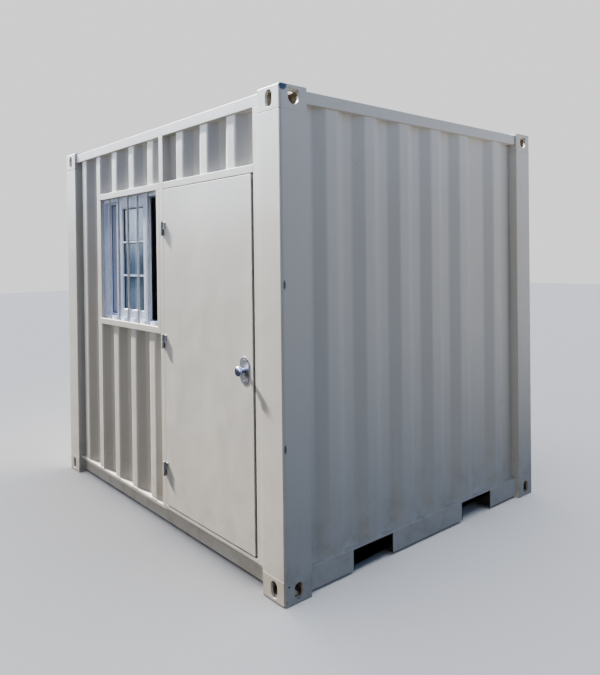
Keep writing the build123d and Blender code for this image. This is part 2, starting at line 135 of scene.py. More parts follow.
def bevel(bm, edges, radius, segments):
    bmesh.ops.bevel(
        bm, geom=edges, offset=radius, offset_type="OFFSET", segments=segments, profile=0.5, affect="EDGES"
    )


def edges_between(bm, low, high):
    low, high = math.radians(low), math.radians(high)
    return [edge for edge in bm.edges if len(edge.link_faces) == 2 and low < edge.calc_face_angle() < high]


# Folded sheet: the bends of the CAD sheet are rounded, and its cut edges stay square
def folded_sheet(name, material, radius=0.009):
    bm = clean_copy(name)
    bevel(bm, edges_between(bm, bend_from, corner_from), radius, 4)
    made = dress(finish_mesh(bm, name + "_folded"), material, "cabin")
    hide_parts(name)
    return made


# Rolled and pressed steel: every outer edge is a small round
def rounded_steel(name, radius, material, body="cabin", least=corner_from, segments=3):
    bm = clean_copy(name)
    bevel(bm, edges_between(bm, least, any_angle), radius, segments)
    made = dress(finish_mesh(bm, name + "_rounded", sharp_angle=35.0), material, body)
    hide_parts(name)
    return made


# Whether an edge is the upright one of a post at a corner of the cabin
def outer_corner(edge):
    start, end = edge.verts[0].co, edge.verts[1].co
    middle = (start + end) / 2
    shortest = 0.5
    slack = 0.001
    upright = abs(start.z - end.z) > shortest
    return upright and abs(middle.x) > x_end - slack and abs(middle.y) > y_side - slack


# A corner post is bent from plate, with the same round corner as the castings
def bent_post(name, material, corner_radius=0.013, edge_radius=0.003):
    bm = clean_copy(name)
    bevel(bm, [edge for edge in bm.edges if outer_corner(edge)], corner_radius, 5)
    bevel(bm, edges_between(bm, corner_from, any_angle), edge_radius, 2)
    made = dress(finish_mesh(bm, name + "_bent", sharp_angle=35.0), material, "cabin")
    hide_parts(name)
    return made


# The angles of so many places round a circle
def angles_round(count):
    return [2 * math.pi * index / count for index in range(count)]


# The four corners of a rectangle in turn
def rectangle(left, foot, right, top):
    return ((left, foot), (right, foot), (right, top), (left, top))


# Faces between pairs of rings, where a ring of one vertex is a tip
def skin(bm, pairs):
    for ring, after_ring in pairs:
        sides = max(len(ring), len(after_ring))
        for side in range(sides):
            following = (side + 1) % sides
            if len(ring) == 1:
                bm.faces.new((ring[0], after_ring[following], after_ring[side]))
            elif len(after_ring) == 1:
                bm.faces.new((ring[side], ring[following], after_ring[0]))
            else:
                bm.faces.new((ring[side], ring[following], after_ring[following], after_ring[side]))


# A path cut into steps of about the same length
def resampled(path, step, closed):
    points = []
    for start, end in zip(path, path[1:] + ([path[0]] if closed else [])):
        count = max(1, round((end - start).length / step))
        points += [start.lerp(end, index / count) for index in range(count)]
    return points if closed else points + [path[-1]]


# Bead along a path: a round section whose size swells and shrinks as a weld's ripples do
def bead(bm, path, radius, closed=False, step=0.004, sides=6, ripple=0.16, flow=z_up):
    points = resampled(path, step, closed)
    count = len(points)
    rings = []
    for index, point in enumerate(points):
        before = points[index - 1] if closed or index else point
        after = points[(index + 1) % count] if closed or index + 1 < count else point
        along = (after - before).normalized()
        nearly_along = abs(along.dot(flow)) >= 0.9
        across = along.cross(x_out if nearly_along else flow).normalized()
        lift = across.cross(along)
        uneven = noise.noise(point * lump_scale) * lump_share
        size = radius * (1.0 + ripple * math.sin(index * ripple_turn) + ripple * uneven)
        spokes = [math.cos(angle) * across + math.sin(angle) * lift for angle in angles_round(sides)]
        rings.append([bm.verts.new(point + size * spoke) for spoke in spokes])
    skin(bm, list(zip(rings, rings[1:])) + ([(rings[-1], rings[0])] if closed else []))
    if not closed:
        bm.faces.new(rings[0][::-1])
        bm.faces.new(rings[-1])


def upright_bead(bm, x, y, foot, top, radius, step=0.004):
    bead(bm, [Vector((x, y, foot)), Vector((x, y, top))], radius, step=step)


def finish_beads(bm, name, material, body="cabin"):
    bmesh.ops.recalc_face_normals(bm, faces=bm.faces)
    return dress(finish_mesh(bm, name, sharp_angle=60.0), material, body)


# A block with rounded edges
def soft_block(bm, low, high, radius, segments=2):
    size = high - low
    made = bmesh.ops.create_cube(bm, size=1.0)
    placing = Matrix.Translation((low + high) / 2) @ Matrix.Diagonal(size.to_4d())
    bmesh.ops.transform(bm, matrix=placing, verts=made["verts"])
    edges = list({edge for vert in made["verts"] for edge in vert.link_edges})
    bevel(bm, edges, radius, segments)


# A ring with a wedge-shaped section round a rectangle that faces the door's side
def gasket(bm, left, foot, right, top, front, wide, deep):
    outer = rectangle(left, foot, right, top)
    inner = rectangle(left + wide, foot + wide, right - wide, top - wide)
    section = ((outer, front + deep), (outer, front), (inner, front + deep / 3), (inner, front + deep))
    rings = [[bm.verts.new((x, y, z)) for x, z in outline] for outline, y in section]
    skin(bm, zip(rings, rings[1:] + rings[:1]))


# A turned shape round a line along Y: pairs of radius and place along the line
def turned(bm, center, profile, sides=64):
    rings = []
    for radius, along in profile:
        if radius == 0:
            rings.append([bm.verts.new(center + along * y_out)])
        else:
            ring = [Vector((radius * math.cos(t), along, radius * math.sin(t))) for t in angles_round(sides)]
            rings.append([bm.verts.new(center + place) for place in ring])
    skin(bm, zip(rings, rings[1:]))


# The line on the outer side of a sheet at one level of an axis, point by point
def sheet_line(name, outward, axis, level, along):
    bm = clean_copy(name)
    faces_outward = 0.2
    same_level = 1e-4
    places = {}
    for face in bm.faces:
        if face.normal.dot(outward) > faces_outward:
            for vert in face.verts:
                if abs(vert.co.dot(axis) - level) < same_level:
                    places[round(vert.co.dot(along), 5)] = vert.co.copy()
    bm.free()
    return [places[key] for key in sorted(places)]


# The colour sockets of a Mix node, which share their names with others and so go by number
first_colour = 6
second_colour = 7
mixed_colour = 2

# The part of its range that noise mostly stays in
usual_noise = (0.3, 0.7)

# How far a rounded normal agrees with the true one, from where an edge starts to where it is full
edge_agreement = (0.985, 0.8)

# A blot's outline: how ragged it is, and the distances between which it grows from nothing to full
raggedness = 0.7
blot_outline = (1.6, 1.1)


# A tree of shader nodes, of a material or of the world
class Graph:
    def __init__(self, tree):
        self.tree = tree
        self.tree.nodes.clear()

    def add(self, kind):
        return self.tree.nodes.new(kind)

    def link(self, out, into):
        self.tree.links.new(out, into)

    def feed(self, value, socket):
        if isinstance(value, bpy.types.NodeSocket):
            self.link(value, socket)
        else:
            socket.default_value = value

    def remap(self, value, low, high, out_low=0.0, out_high=1.0):
        node = self.add("ShaderNodeMapRange")
        node.interpolation_type = "SMOOTHSTEP"
        node.inputs["From Min"].default_value = low
        node.inputs["From Max"].default_value = high
        node.inputs["To Min"].default_value = out_low
        node.inputs["To Max"].default_value = out_high
        self.link(value, node.inputs["Value"])
        return node.outputs["Result"]

    def calculate(self, operation, first, second=0.0):
        node = self.add("ShaderNodeMath")
        node.operation = operation
        self.feed(first, node.inputs[0])
        self.feed(second, node.inputs[1])
        return node.outputs["Value"]

    def vector(self, operation, first, second=(0.0, 0.0, 0.0)):
        node = self.add("ShaderNodeVectorMath")
        node.operation = operation
        self.feed(first, node.inputs[0])
        self.feed(second, node.inputs[1])
        return node

    def mix(self, factor, first, second):
        node = self.add("ShaderNodeMix")
        node.data_type = "RGBA"
        self.feed(factor, node.inputs["Factor"])
        self.feed(first, node.inputs[first_colour])
        self.feed(second, node.inputs[second_colour])
        return node.outputs[mixed_colour]


# The graph of a material, with its shader and the patterns that feed it
class Surface(Graph):
    def __init__(self, name):
        self.material = bpy.data.materials.new(name)
        self.material.use_nodes = True
        super().__init__(self.material.node_tree)
        output = self.add("ShaderNodeOutputMaterial")
        self.shader = self.add("ShaderNodeBsdfPrincipled")
        self.link(self.shader.outputs["BSDF"], output.inputs["Surface"])
        self.places = self.add("ShaderNodeTexCoord")
        self.place = self.places.outputs["Object"]

    def set(self, **values):
        for name, value in values.items():
            self.feed(value, self.shader.inputs[name.replace("_", " ")])

    def stretched(self, x, y, z):
        mapping = self.add("ShaderNodeMapping")
        mapping.inputs["Scale"].default_value = (x, y, z)
        self.link(self.place, mapping.inputs["Vector"])
        return mapping.outputs["Vector"]

    def noise(self, scale, detail=3.0, roughness=0.5, vector=None):
        texture = self.add("ShaderNodeTexNoise")
        texture.inputs["Scale"].default_value = scale
        texture.inputs["Detail"].default_value = detail
        texture.inputs["Roughness"].default_value = roughness
        self.link(vector or self.place, texture.inputs["Vector"])
        return texture.outputs["Fac"]

    # Patches that grow from weak to strong where noise rises from one level to a higher one
    def patches(self, scale, low, high, weak=0.0, strong=1.0, detail=3.0, roughness=0.5, vector=None):
        return self.remap(self.noise(scale, detail, roughness, vector), low, high, weak, strong)

    # A value that wanders between two limits
    def uneven(self, scale, least, most, detail=3.0):
        return self.patches(scale, *usual_noise, least, most, detail)

    def axis(self, name, of="Object"):
        node = self.add("ShaderNodeSeparateXYZ")
        self.link(self.places.outputs[of], node.inputs["Vector"])
        return node.outputs[name]

    # 1 within a distance of a level along an axis, on both sides of the middle if mirrored
    def within(self, name, level, reach, mirrored=False, soft=0.0005):
        value = self.axis(name)
        if mirrored:
            value = self.calculate("ABSOLUTE", value)
        away = self.calculate("ABSOLUTE", self.calculate("SUBTRACT", value, level))
        return self.remap(away, reach + soft, reach)

    def bump(self, value, distance, below=None):
        node = self.add("ShaderNodeBump")
        node.inputs["Distance"].default_value = distance
        self.link(value, node.inputs["Height"])
        if below:
            self.link(below, node.inputs["Normal"])
        return node.outputs["Normal"]

    def grain(self, scale, distance, detail=3.0):
        return self.bump(self.noise(scale, detail), distance)

    # 1 at sharp edges, where a rounded normal turns away from the true one
    def edges(self, radius):
        rounded = self.add("ShaderNodeBevel")
        rounded.samples = 4
        rounded.inputs["Radius"].default_value = radius
        geometry = self.add("ShaderNodeNewGeometry")
        agreement = self.vector("DOT_PRODUCT", rounded.outputs["Normal"], geometry.outputs["Normal"])
        return self.remap(agreement.outputs["Value"], *edge_agreement)

    # 1 inside a ragged blot round a place, which reaches so far along each axis
    def near(self, place, reach):
        away = self.vector("SUBTRACT", self.place, place)
        scaled = self.vector("DIVIDE", away.outputs["Vector"], reach)
        length = self.vector("LENGTH", scaled.outputs["Vector"])
        ragged = self.calculate("MULTIPLY", self.noise(160.0), raggedness)
        return self.remap(self.calculate("ADD", length.outputs["Value"], ragged), *blot_outline)


# Colours of the paint, its dirt and its marks, and of the light, glare and shade painted into it
ivory_low = (0.61, 0.58, 0.525, 1.0)
ivory = (0.625, 0.602, 0.555, 1.0)
# A paler top tone and a bluish white, both painted light: brighter paint high up and a painted glare
ivory_painted_lit_top = (0.69, 0.68, 0.655, 1.0)
painted_glare = (0.93, 0.97, 1.0, 1.0)
# Dust, which also serves as the warm painted shade low in the front's valleys, and a cool blue painted shade
# higher in them
dust_and_painted_shade = (0.36, 0.31, 0.24, 1.0)
cool_painted_shade = (0.31, 0.38, 0.53, 1.0)
rust = (0.11, 0.045, 0.02, 1.0)
primer = (0.16, 0.15, 0.15, 1.0)
old_blue = (0.05, 0.10, 0.20, 1.0)
seam_painted_shadow = (0.20, 0.20, 0.215, 1.0)
hollow_pale = (0.50, 0.44, 0.37, 1.0)
hollow_dark = (0.33, 0.27, 0.21, 1.0)

# Heights between which one tone of the paint goes over into the next, paler upward as a painted light, where
# a painted glare comes in on the front, where the painted shade in the valleys turns from warm to cool, and
# where dirt fades out
low_to_middle_painted_light = (0.25, 1.1)
middle_to_top_painted_light = (1.65, 2.45)
into_painted_glare = (1.5, 2.5)
warm_to_cool_painted_shade = (1.0, 2.3)
splash_fade = (0.55, 0.02)
casting_dirt_fade = (0.125, 0.105)

# Places along Y between which the front goes over into its outer faces, and into its valleys
into_outer_faces = (0.030 - y_side, 0.022 - y_side)
into_valleys = (0.0245 - y_side, 0.033 - y_side)

# Directions of a face between which it comes to face the front, or the near end
turned_to_front = (-0.8, -0.95)
turned_to_end = (0.1, 0.4)

# The painted shade in a valley, on its other faces and on those turned to the near end
valley_shade = (0.25, 0.36)

# A paint's bump is so many times its waviness
wave_gain = 6

# The hollow of a casting: half its length and width, and the distances up or down between which it ends
hollow_half_x = 0.0735
hollow_half_y = 0.0655
hollow_ends = (0.0322, 0.0315)

# Marks that show on the near end and the front: where each is, how far it reaches and its colour
seam_reach = (0.12, 0.009, 0.0035)
near_post_marks = (
    ((x_end, -1.051, 1.502), (0.01, 0.007, 0.022), primer),
    ((x_end, -1.056, 0.739), (0.01, 0.006, 0.020), primer),
)
end_wall_marks = (
    ((x_end - 0.03, -0.933, 1.429), (0.05, 0.009, 0.009), primer),
    ((x_end - 0.06, 0.752, 0.671), (0.05, 0.007, 0.018), primer),
)
# Dark lines along the foot of the top castings on the front: a painted shadow of the seam there
seam_painted_shadows = (
    ((x_end - half_casting_x, -y_side, top_casting_foot), seam_reach, seam_painted_shadow),
    ((half_casting_x - x_end, -y_side, top_casting_foot), seam_reach, seam_painted_shadow),
)
casting_marks = (
    ((x_end, -1.049, 2.426), (0.022, 0.023, 0.021), old_blue),
    ((x_end, -1.044, 0.096), (0.012, 0.007, 0.005), primer),
)


# Ivory that grows paler with the height, a painted light, and a painted bluish-white glare high on the front
def ivory_with_painted_light(s, level, facing_front):
    colour = s.mix(s.remap(level, *low_to_middle_painted_light), ivory_low, ivory)
    colour = s.mix(s.remap(level, *middle_to_top_painted_light), colour, ivory_painted_lit_top)
    return s.mix(s.calculate("MULTIPLY", s.remap(level, *into_painted_glare), facing_front), colour, painted_glare)


# Streaks that run down, dirt splashed up from the ground, and fine specks
def light_dirt(s, colour):
    upright = s.stretched(16.0, 16.0, 0.5)
    streaks = s.patches(1.0, 0.56, 0.8, strong=0.20, detail=5.0, roughness=0.6, vector=upright)
    colour = s.mix(streaks, colour, dust_and_painted_shade)
    splashes = s.patches(9.0, 0.42, 0.75, strong=0.5, detail=6.0, roughness=0.65)
    colour = s.mix(s.calculate("MULTIPLY", s.remap(s.axis("Z"), *splash_fade), splashes), colour, dust_and_painted_shade)
    return s.mix(s.patches(70.0, 0.68, 0.78, strong=0.3, detail=2.0), colour, dust_and_painted_shade)


# Broad stains and spots of rust
def heavy_dirt(s, colour, strength):
    stains = s.patches(3.2, 0.46, 0.72, strong=strength, detail=7.0, roughness=0.68)
    spots = s.patches(26.0, 0.68, 0.74, strong=0.8, detail=5.0, roughness=0.6)
    return s.mix(spots, s.mix(stains, colour, dust_and_painted_shade), rust)


# 1 inside the hollow of a casting
def casting_hollow(s):
    middle = height / 2
    inside_x = s.within("X", x_end - half_casting_x, hollow_half_x, True)
    inside_y = s.within("Y", y_side - half_casting_y, hollow_half_y, True)
    from_middle = s.calculate("ABSOLUTE", s.calculate("SUBTRACT", s.axis("Z"), middle))
    from_casting = s.calculate("SUBTRACT", from_middle, middle - bottom_casting_top / 2)
    inside_z = s.remap(s.calculate("ABSOLUTE", from_casting), *hollow_ends)
    return s.calculate("MULTIPLY", s.calculate("MULTIPLY", inside_x, inside_y), inside_z)


def painted_steel(name, waviness=0.0012, chips=0.0, marks=(), weathered=0.0, cast=False, valleys=False):
    s = Surface(name)
    level = s.calculate("ADD", s.axis("Z"), s.uneven(1.1, -0.12, 0.12))
    to_front = s.remap(s.axis("Y", "Normal"), *turned_to_front)
    facing_front = s.calculate("MULTIPLY", to_front, s.remap(s.axis("Y"), *into_outer_faces))
    colour = light_dirt(s, ivory_with_painted_light(s, level, facing_front))
    if weathered:
        colour = heavy_dirt(s, colour, weathered)
    if chips:
        broken = s.patches(34.0, 0.62 - chips, 0.66 - chips, detail=6.0, roughness=0.7)
        colour = s.mix(s.calculate("MULTIPLY", s.edges(0.005), broken), colour, rust)
    for place, reach, mark_colour in marks:
        colour = s.mix(s.near(place, reach), colour, mark_colour)
    peel = s.grain(420.0, 0.00006, detail=2.0)
    waves = s.noise(1.0, 2.0, vector=s.stretched(2.6, 2.6, 1.7))
    relief = s.bump(waves, waviness * wave_gain, peel)
    if cast:
        relief = s.bump(s.noise(150.0, 5.0, 0.6), 0.0007, relief)
        brown = s.mix(s.patches(30.0, 0.4, 0.65, detail=5.0), hollow_pale, hollow_dark)
        colour = s.mix(casting_hollow(s), colour, brown)
        low_down = s.remap(s.axis("Z"), *casting_dirt_fade, 0.0, 0.4)
        colour = s.mix(s.calculate("MULTIPLY", facing_front, low_down), colour, dust_and_painted_shade)
    gloss = s.uneven(11.0, 0.42, 0.54, detail=4.0)
    # Painted shade in the front's valleys and on the flanks turned to the near end: warm low down, cool blue
    # higher up
    if valleys:
        valley = s.remap(s.axis("Y"), *into_valleys)
        lee = s.remap(s.axis("X", "Normal"), *turned_to_end, *valley_shade)
        shade = s.mix(s.remap(level, *warm_to_cool_painted_shade), dust_and_painted_shade, cool_painted_shade)
        colour = s.mix(s.calculate("MULTIPLY", valley, lee), colour, shade)
        gloss = s.calculate("ADD", gloss, s.calculate("MULTIPLY", valley, 0.4))
    s.set(Base_Color=colour, Roughness=gloss, Normal=relief)
    s.shader.inputs["Specular IOR Level"].default_value = 1.0
    return s.material


# Underframe: paint made near black, a painted shade for the dark under the cabin and in the fork pockets,
# with blotches and rust
def underframe_painted_dark():
    s = Surface("underframe_paint_painted_shade")
    blotches = s.patches(6.0, 0.4, 0.7, detail=5.0)
    colour = s.mix(blotches, (0.012, 0.012, 0.016, 1.0), (0.028, 0.025, 0.024, 1.0))
    colour = s.mix(s.patches(28.0, 0.6, 0.7, strong=0.3, detail=6.0, roughness=0.7), colour, rust)
    s.set(Base_Color=colour, Roughness=s.uneven(20.0, 0.6, 0.85), Normal=s.grain(120.0, 0.0004))
    return s.material


# Plywood boards laid side by side, with a dark joint between them
def plywood():
    s = Surface("floor_plywood")
    joint_x = 0.61
    joint_half = 0.0012
    fibres = s.noise(1.0, 6.0, 0.65, s.stretched(60.0, 3.0, 60.0))
    colour = s.mix(s.remap(fibres, 0.35, 0.7), (0.30, 0.19, 0.10, 1.0), (0.16, 0.095, 0.05, 1.0))
    colour = s.mix(s.patches(4.0, 0.5, 0.75, strong=0.5, detail=5.0), colour, dust_and_painted_shade)
    joint = s.within("X", joint_x, joint_half, True)
    colour = s.mix(joint, colour, (0.015, 0.01, 0.008, 1.0))
    relief = s.bump(joint, -0.003, s.bump(fibres, 0.0006))
    s.set(Base_Color=colour, Roughness=s.uneven(15.0, 0.55, 0.8), Normal=relief)
    return s.material


# Pale powder coat made strongly blue: the blue is a painted light from the sky
def window_coat_sky_tinted():
    s = Surface("window_powder_coat_sky_tinted")
    blotches = s.patches(12.0, 0.35, 0.7, detail=4.0)
    colour = s.mix(blotches, (0.68, 0.77, 1.0, 1.0), (0.62, 0.71, 0.96, 1.0))
    s.set(Base_Color=colour, Roughness=s.uneven(40.0, 0.3, 0.45), Normal=s.grain(600.0, 0.00003))
    return s.material


def window_glass(name, tint, clearness):
    s = Surface(name)
    s.set(Base_Color=tint, Roughness=s.patches(7.0, 0.4, 0.8, 0.01, 0.06, detail=5.0))
    s.shader.inputs["Transmission Weight"].default_value = clearness
    s.shader.inputs["IOR"].default_value = 1.45
    return s.material


def galvanised():
    s = Surface("hinge_zinc")
    cells = s.add("ShaderNodeTexVoronoi")
    cells.inputs["Scale"].default_value = 180.0
    s.link(s.place, cells.inputs["Vector"])
    colour = s.mix(cells.outputs["Distance"], (0.34, 0.35, 0.35, 1.0), (0.50, 0.51, 0.51, 1.0))
    s.set(Base_Color=colour, Roughness=s.uneven(60.0, 0.35, 0.55), Normal=s.grain(300.0, 0.0001))
    s.shader.inputs["Metallic"].default_value = 0.85
    return s.material


def chrome(name, tone, roughest):
    s = Surface(name)
    smears = s.patches(40.0, 0.5, 0.8, strong=0.4, detail=4.0)
    colour = s.mix(smears, tone, (0.40, 0.38, 0.35, 1.0))
    s.set(Base_Color=colour, Roughness=s.uneven(90.0, roughest - 0.1, roughest))
    s.shader.inputs["Metallic"].default_value = 1.0
    return s.material


def rubber():
    s = Surface("seal_rubber")
    colour = s.mix(s.noise(50.0), (0.018, 0.018, 0.019, 1.0), (0.04, 0.04, 0.042, 1.0))
    s.set(Base_Color=colour, Roughness=s.uneven(80.0, 0.55, 0.75), Normal=s.grain(200.0, 0.0001))
    return s.material


def plain_coat(name, clean, soiled):
    s = Surface(name)
    colour = s.mix(s.patches(20.0, 0.4, 0.7), clean, soiled)
    s.set(Base_Color=colour, Roughness=s.uneven(60.0, 0.4, 0.6), Normal=s.grain(160.0, 0.0002))
    return s.material


paint = painted_steel("ivory_paint", waviness=0.0006, chips=0.02)
leaf_paint = painted_steel("ivory_paint_leaf", waviness=0.0012)
post_paint = painted_steel(
    "ivory_paint_posts", waviness=0.0007, chips=0.04, marks=near_post_marks + seam_painted_shadows
)
sheet_paint = painted_steel("ivory_paint_sheet", waviness=0.0016, marks=end_wall_marks)
front_sheet_paint = painted_steel("ivory_paint_front_sheet", waviness=0.0016, valleys=True)
roof_paint = painted_steel("ivory_paint_roof", waviness=0.0016, weathered=0.55)
casting_paint = painted_steel(
    "ivory_paint_castings",
    waviness=0.0004,
    chips=0.08,
    marks=casting_marks + seam_painted_shadows,
    weathered=0.3,
    cast=True,
)
weld_paint = painted_steel("ivory_paint_welds", waviness=0.0002, weathered=0.25)
# The welds where frame meets castings: heavy dirt that also serves as painted shade along the seams, and the
# painted seam shadow
seam_paint = painted_steel("ivory_paint_seams", waviness=0.0002, marks=seam_painted_shadows, weathered=1.0)
coat = window_coat_sky_tinted()
# The knob's chrome is tinted blue, a painted reflection of the sky
sky_tinted_chrome = chrome("polished_chrome_sky_tinted", (0.62, 0.70, 0.95, 1.0), roughest=0.24)
satin = chrome("satin_chrome", (0.40, 0.39, 0.41, 1.0), roughest=0.44)
zinc = galvanised()
seal = rubber()
white_seal = plain_coat("white_sealant", (0.62, 0.62, 0.60, 1.0), (0.45, 0.44, 0.40, 1.0))
# Guard bars: a darker bluish grey, a painted shade
bar_painted_shade = plain_coat("guard_bar_painted_shade", (0.62, 0.62, 0.64, 1.0), (0.55, 0.54, 0.53, 1.0))
clear_pane = window_glass("window_pane", (0.62, 0.72, 0.76, 1.0), clearness=0.94)
pale_fixed_pane = window_glass("window_pane_fixed", (0.50, 0.56, 0.74, 1.0), clearness=0.25)

slot_finish = {
    "painted_steel": paint,
    "underframe_steel": underframe_painted_dark(),
    "plywood": plywood(),
    "window_aluminium": coat,
    "window_glass": clear_pane,
    "galvanised_steel": zinc,
    "chrome": sky_tinted_chrome,
}
for row in frame["record"]["subparts"]:
    cover(nodes[row["node"]], slot_finish[row["material_slot"]])

# The fixed pane is pale blue and lets little light through, which hides what is behind it
cover(nodes["glass_fixed"], pale_fixed_pane)

# The guard bars are darker and greyer than the walls, a painted shade
cover(nodes["guard_bars"], bar_painted_shade)

# Walls: each with the side that it faces and the way that it runs
wall_sides = (
    ("end_wall_right", x_out, y_out),
    ("end_wall_left", -x_out, y_out),
    ("back_wall", y_out, x_out),
    ("front_wall_left", -y_out, x_out),
    ("front_wall_below_window", -y_out, x_out),
    ("front_wall_above_window", -y_out, x_out),
    ("front_wall_above_door", -y_out, x_out),
)
for name, outward, along in wall_sides:
    folded_sheet(name, front_sheet_paint if name.startswith("front") else sheet_paint)

# Roof, posts, castings, rails, tubes, door and window
folded_sheet("roof", roof_paint, 0.005)
for name in ("post_front_right", "post_front_left", "post_back_right", "post_back_left"):
    bent_post(name, post_paint)
for name in ("top_castings", "bottom_castings"):
    rounded_steel(name, 0.002, casting_paint, least=30)
for name in ("top_rail_front", "top_rail_back", "top_rail_right", "top_rail_left"):
    rounded_steel(name, 0.0035, paint)
for name in ("bottom_rail_front", "bottom_rail_back", "bottom_rail_right", "bottom_rail_left"):
    rounded_steel(name, 0.0022, paint)
for name in ("window_head", "door_head", "window_sill", "door_post", "door_jamb", "window_side_bar"):
    rounded_steel(name, 0.0025, paint)
rounded_steel("threshold", 0.0015, paint)
rounded_steel("door_leaf", 0.0018, leaf_paint, "door")
for name in ("window_frame", "sash_fixed", "sash_sliding"):
    rounded_steel(name, 0.0012, coat, segments=2)
rounded_steel("hinges_on_post", 0.0012, zinc, segments=2)
rounded_steel("hinges_on_leaf", 0.0012, zinc, "door", segments=2)
rounded_steel("lock_plates", 0.0011, satin, "door")

# Welds along the foot and head of every wall, and down its sides
bm = bmesh.new()
bead_lift = 0.001
for name, outward, along in wall_sides:
    low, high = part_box(name)
    for level in (low.z, high.z):
        line = [place + bead_lift * outward for place in sheet_line(name, outward, z_up, level, along)]
        bead(bm, line, wall_bead, step=0.005)
    for place in (line[0], line[-1]):
        upright_bead(bm, place.x, place.y, low.z, high.z, wall_bead, step=0.006)
finish_beads(bm, "wall_welds", weld_paint)

# Welds round the roof sheet
bm = bmesh.new()
roof_low, roof_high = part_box("roof")
for level in (roof_low.y, roof_high.y):
    bead(bm, sheet_line("roof", z_up, y_out, level, x_out), roof_bead, step=0.006, flow=y_out)
for x in (roof_low.x, roof_high.x):
    z = height - roof_edge_drop
    bead(bm, [Vector((x, -y_casting, z)), Vector((x, y_casting, z))], roof_bead, step=0.006)
finish_beads(bm, "roof_welds", weld_paint)

# Welds between posts and castings, and between rails and castings
post_bead_inset = 0.0034
rail_bead_foot = 0.018


def post_seam(bm, side_x, side_y, z):
    turn = 0.012
    turn_middle = turn * 0.32
    bead(bm, [
        Vector((side_x * x_casting, side_y * (y_side - post_bead_inset), z)),
        Vector((side_x * (x_end - turn), side_y * (y_side - post_bead_inset), z)),
        Vector((side_x * (x_end - turn_middle), side_y * (y_side - turn_middle), z)),
        Vector((side_x * (x_end - post_bead_inset), side_y * (y_side - turn), z)),
        Vector((side_x * (x_end - post_bead_inset), side_y * y_casting, z)),
    ], post_bead)


def top_rail_seams(bm, side_x, side_y):
    side_rail = "top_rail_front" if side_y < 0 else "top_rail_back"
    end_rail = "top_rail_left" if side_x < 0 else "top_rail_right"
    low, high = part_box(side_rail)
    ring = [Vector((side_x * x_casting, y, z)) for y, z in rectangle(low.y, low.z, high.y, high.z)]
    bead(bm, ring, rail_bead, closed=True)
    low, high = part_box(end_rail)
    ring = [Vector((x, side_y * y_casting, z)) for x, z in rectangle(low.x, low.z, high.x, high.z)]
    bead(bm, ring, rail_bead, closed=True)


def bottom_rail_seams(bm, side_x, side_y):
    face_x = side_x * (x_end - end_rail_setback)
    upright_bead(bm, face_x, side_y * y_casting, rail_bead_foot, rail_top, rail_bead)
    web_y = side_y * (y_side - side_rail_web_setback)
    upright_bead(bm, side_x * x_casting, web_y, rail_bead_foot, rail_top - rail_steel, rail_bead)
    lip_y = side_y * (y_side - side_rail_setback)
    upright_bead(bm, side_x * x_casting, lip_y, rail_top - side_rail_lip, rail_top, lip_bead)


bm = bmesh.new()
for side_x in (-1, 1):
    for side_y in (-1, 1):
        for z in (bottom_casting_top, top_casting_foot):
            post_seam(bm, side_x, side_y, z)
        top_rail_seams(bm, side_x, side_y)
        bottom_rail_seams(bm, side_x, side_y)
finish_beads(bm, "frame_welds", seam_paint)

# Guard bars: a small bead round each end
bm = bmesh.new()
guard_bar_count = 5
bars_low, bars_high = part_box("guard_bars")
bar_radius = (bars_high.y - bars_low.y) / 2
bar_y = (bars_high.y + bars_low.y) / 2
bar_pitch = (bars_high.x - bars_low.x - 2 * bar_radius) / (guard_bar_count - 1)
for index in range(guard_bar_count):
    bar_x = bars_low.x + bar_radius + index * bar_pitch
    circle = [(bar_x + bar_radius * math.cos(t), bar_y + bar_radius * math.sin(t)) for t in angles_round(20)]
    for z in (bars_low.z, bars_high.z):
        bead(bm, [Vector((x, y, z)) for x, y in circle], bar_bead, closed=True)
finish_beads(bm, "guard_bar_welds", weld_paint)

# Hinges: a bead round the flat part of each wing, on the post and on the leaf
leaf_low, leaf_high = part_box("door_leaf")
wing_flat = 0.018


# The foot and top of each hinge half in a node
def hinge_spans(node):
    least_gap = 0.1
    spans = []
    for z in sorted({round(vert.co.z, 4) for vert in nodes[node].data.vertices}):
        if spans and z - spans[-1][1] < least_gap:
            spans[-1][1] = z
        else:
            spans.append([z, z])
    return spans


def wing_welds(name, node, body, side):
    bm = bmesh.new()
    low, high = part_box(node)
    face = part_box("door_post")[0].y if side < 0 else leaf_low.y
    far = low.x if side < 0 else high.x
    near_barrel = far - side * wing_flat
    for foot, top in hinge_spans(node):
        wing_foot = foot + hinge_cap if side < 0 else foot
        wing_top = foot + hinge_half if side < 0 else top - hinge_cap
        bead(bm, [
            Vector((near_barrel, face, wing_foot)),
            Vector((far, face, wing_foot)),
            Vector((far, face, wing_top)),
            Vector((near_barrel, face, wing_top)),
        ], wing_bead, step=0.003)
    return finish_beads(bm, name, weld_paint, body)


wing_welds("hinge_welds_on_post", "hinges_on_post", "cabin", -1)
wing_welds("hinge_welds_on_leaf", "hinges_on_leaf", "door", 1)

